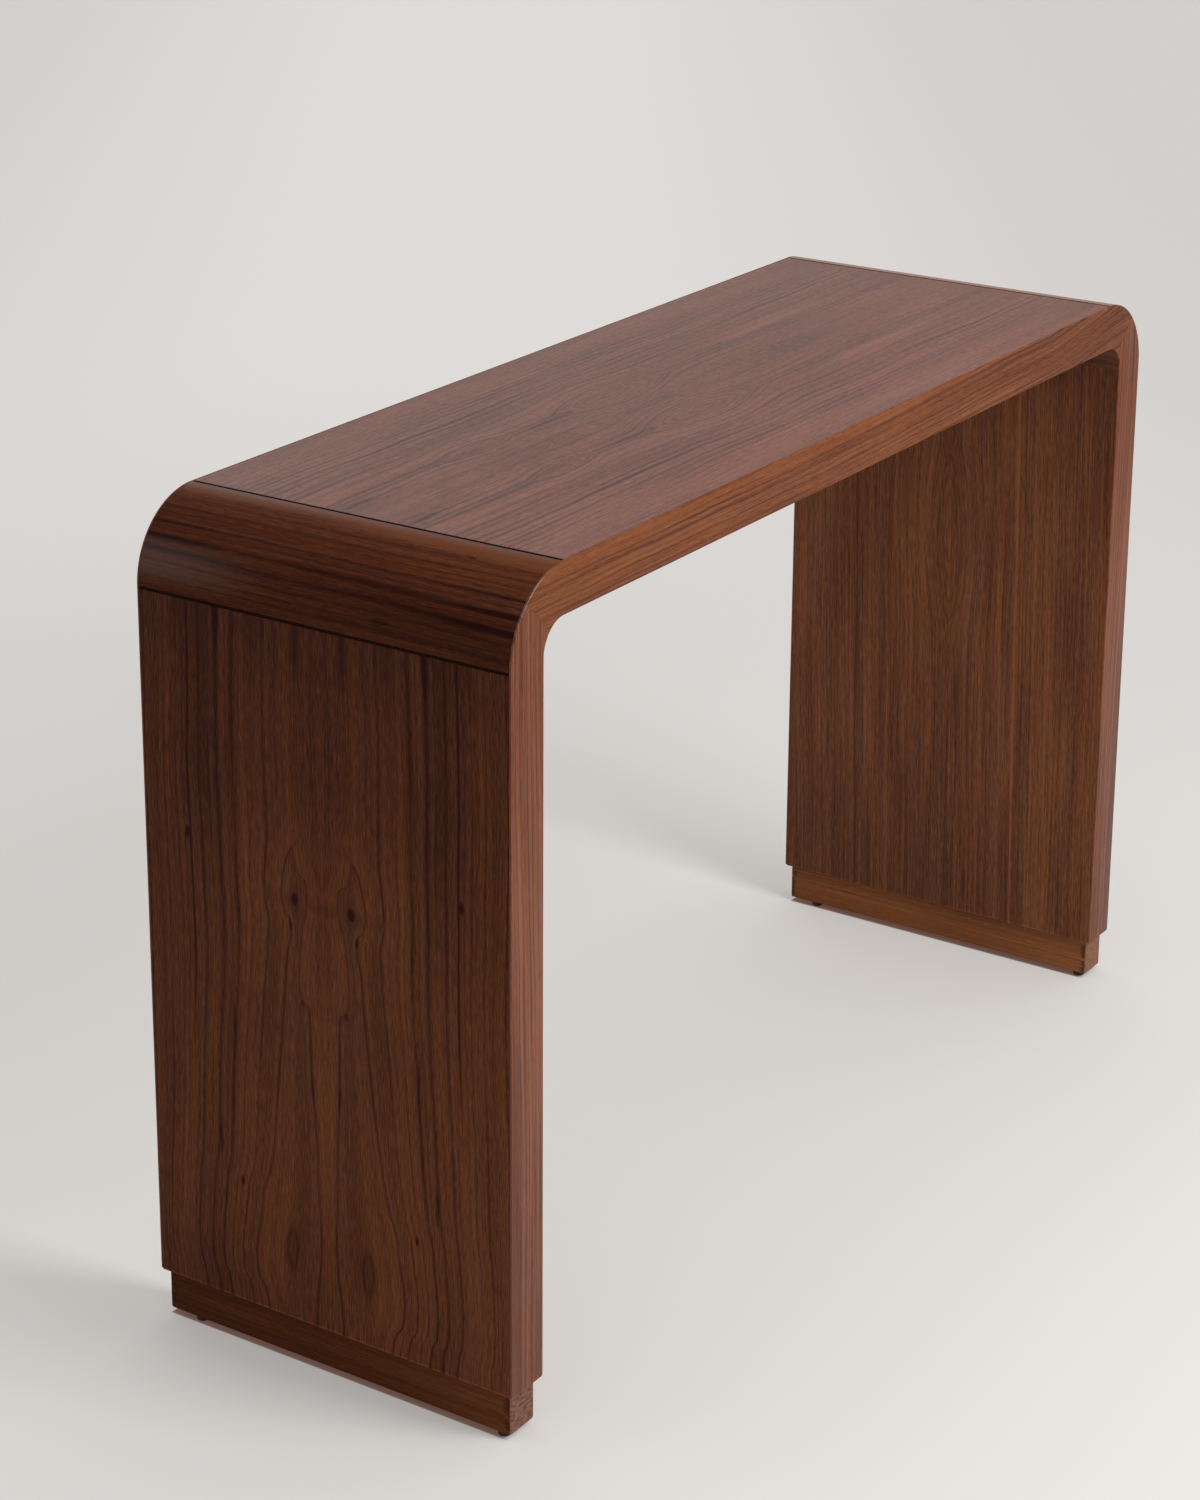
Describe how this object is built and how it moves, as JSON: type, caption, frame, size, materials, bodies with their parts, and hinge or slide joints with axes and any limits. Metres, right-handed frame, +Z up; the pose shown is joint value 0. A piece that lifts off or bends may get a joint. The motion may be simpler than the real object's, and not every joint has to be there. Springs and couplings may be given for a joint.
{
  "type": "console table",
  "caption": "Curved waterfall console table: a flat veneered top runs through rounded corners into slab legs on set-back plinths with glides.",
  "frame": {"origin": "on the floor, under the middle of the table", "axes": "+X along the length, -Y towards the front, +Z up"},
  "size_m": [1.2, 0.4, 0.8],
  "materials": {
    "walnut_veneer": "satin lacquered walnut veneer",
    "walnut_edging": "satin lacquered solid walnut",
    "plinth_wood": "stained and lacquered hardwood",
    "plywood_core": "raw plywood",
    "beech_dowel": "raw beech",
    "zinc_steel": "zinc plated",
    "black_nylon": "moulded black"
  },
  "bodies": {
    "root": {"front_left_leg_edging": "walnut_edging", "front_right_leg_edging": "walnut_edging", "front_top_edging": "walnut_edging", "left_corner_core": "plywood_core", "left_corner_cove_veneer": "walnut_veneer", "left_corner_outer_veneer": "walnut_veneer", "left_front_glide": "black_nylon", "left_front_glide_nail": "zinc_steel", "left_leg_core": "plywood_core", "left_leg_dowel_1": "beech_dowel", "left_leg_dowel_2": "beech_dowel", "left_leg_dowel_3": "beech_dowel", "left_leg_inner_veneer": "walnut_veneer", "left_leg_outer_veneer_front_leaf": "walnut_veneer", "left_leg_outer_veneer_rear_leaf": "walnut_veneer", "left_plinth": "plinth_wood", "left_plinth_screw_1": "zinc_steel", "left_plinth_screw_2": "zinc_steel", "left_plinth_screw_3": "zinc_steel", "left_rear_glide": "black_nylon", "left_rear_glide_nail": "zinc_steel", "left_top_dowel_1": "beech_dowel", "left_top_dowel_2": "beech_dowel", "left_top_dowel_3": "beech_dowel", "rear_left_leg_edging": "walnut_edging", "rear_right_leg_edging": "walnut_edging", "rear_top_edging": "walnut_edging", "right_corner_core": "plywood_core", "right_corner_cove_veneer": "walnut_veneer", "right_corner_outer_veneer": "walnut_veneer", "right_front_glide": "black_nylon", "right_front_glide_nail": "zinc_steel", "right_leg_core": "plywood_core", "right_leg_dowel_1": "beech_dowel", "right_leg_dowel_2": "beech_dowel", "right_leg_dowel_3": "beech_dowel", "right_leg_inner_veneer": "walnut_veneer", "right_leg_outer_veneer_front_leaf": "walnut_veneer", "right_leg_outer_veneer_rear_leaf": "walnut_veneer", "right_plinth": "plinth_wood", "right_plinth_screw_1": "zinc_steel", "right_plinth_screw_2": "zinc_steel", "right_plinth_screw_3": "zinc_steel", "right_rear_glide": "black_nylon", "right_rear_glide_nail": "zinc_steel", "right_top_dowel_1": "beech_dowel", "right_top_dowel_2": "beech_dowel", "right_top_dowel_3": "beech_dowel", "top_core": "plywood_core", "top_underside_veneer": "walnut_veneer", "top_veneer_front_leaf": "walnut_veneer", "top_veneer_rear_leaf": "walnut_veneer"}
  },
  "joints": []
}
